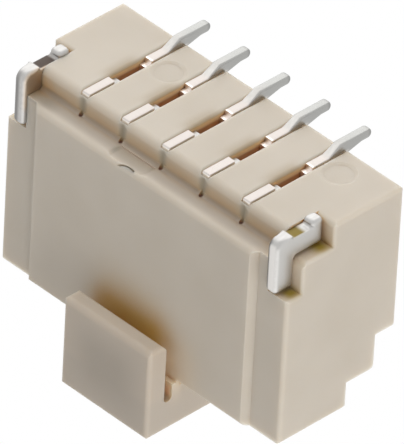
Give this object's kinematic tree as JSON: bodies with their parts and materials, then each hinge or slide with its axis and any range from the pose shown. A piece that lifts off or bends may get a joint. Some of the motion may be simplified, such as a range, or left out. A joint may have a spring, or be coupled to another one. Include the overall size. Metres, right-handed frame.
{
  "type": "wire-to-board socket",
  "caption": "Vertical surface-mount board socket for a wire plug: a shrouded plastic housing with a stepped mouth, a row of flat contacts, solder tabs and a hook-shaped pick-up tab.",
  "frame": {"origin": "on the board, in the middle of the footprint, with the hook and the solder tails included", "axes": "+X along the row of contacts, +Y towards the solder tails, +Z away from the board towards the mating mouth"},
  "size_m": [0.007, 0.0042, 0.0054],
  "materials": {
    "housing_plastic": "natural beige, satin from the mould",
    "contact_metal": "tin-plated sheet",
    "tab_metal": "tin-plated sheet"
  },
  "bodies": {
    "root": {"housing": "housing_plastic", "contact_1": "contact_metal", "contact_2": "contact_metal", "contact_3": "contact_metal", "contact_4": "contact_metal", "contact_5": "contact_metal", "solder_tab_left": "tab_metal", "solder_tab_right": "tab_metal"}
  },
  "joints": []
}
